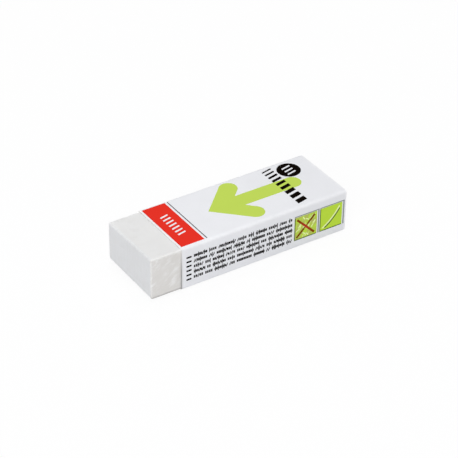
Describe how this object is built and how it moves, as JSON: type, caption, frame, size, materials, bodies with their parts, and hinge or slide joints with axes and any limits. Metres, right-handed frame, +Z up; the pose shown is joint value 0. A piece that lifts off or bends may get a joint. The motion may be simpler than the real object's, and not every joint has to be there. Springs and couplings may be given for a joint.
{
  "type": "rubber eraser",
  "caption": "White vinyl rubber eraser block that slides in a folded card sleeve printed with flat coloured shapes.",
  "frame": {"origin": "middle of the underside, on the surface that the eraser lies on", "axes": "+X along the block from its bare end to the sleeve's far end, -Y out of the printed long side, +Z up out of the printed top"},
  "size_m": [0.0626, 0.0223, 0.0133],
  "materials": {
    "vinyl_block": "matt off-white soft vinyl",
    "sleeve_card": "coated white card, soft satin",
    "red_ink": "offset ink, satin",
    "grey_ink": "offset ink, satin",
    "light_green_ink": "offset ink, satin",
    "black_ink": "offset ink, satin",
    "green_ink": "offset ink, satin",
    "brick_red_ink": "offset ink, satin",
    "white_ink": "card showing through the tiles"
  },
  "bodies": {
    "sleeve": {"card_sleeve": "sleeve_card", "red_band_print": "red_ink", "pinstripe_print": "grey_ink", "arrow_print": "light_green_ink", "graded_bars_print": "black_ink", "dot_print": "black_ink", "green_tiles_print": "green_ink", "tile_frames_print": "grey_ink", "cross_print": "brick_red_ink", "white_marks_print": "white_ink", "fine_print": "black_ink"},
    "block": {"eraser_block": "vinyl_block"}
  },
  "joints": [
    {"name": "block_slide", "type": "slide", "parent": "sleeve", "child": "block", "axis": [-1, 0, 0], "range_m": [-0.059, 0.05]}
  ]
}
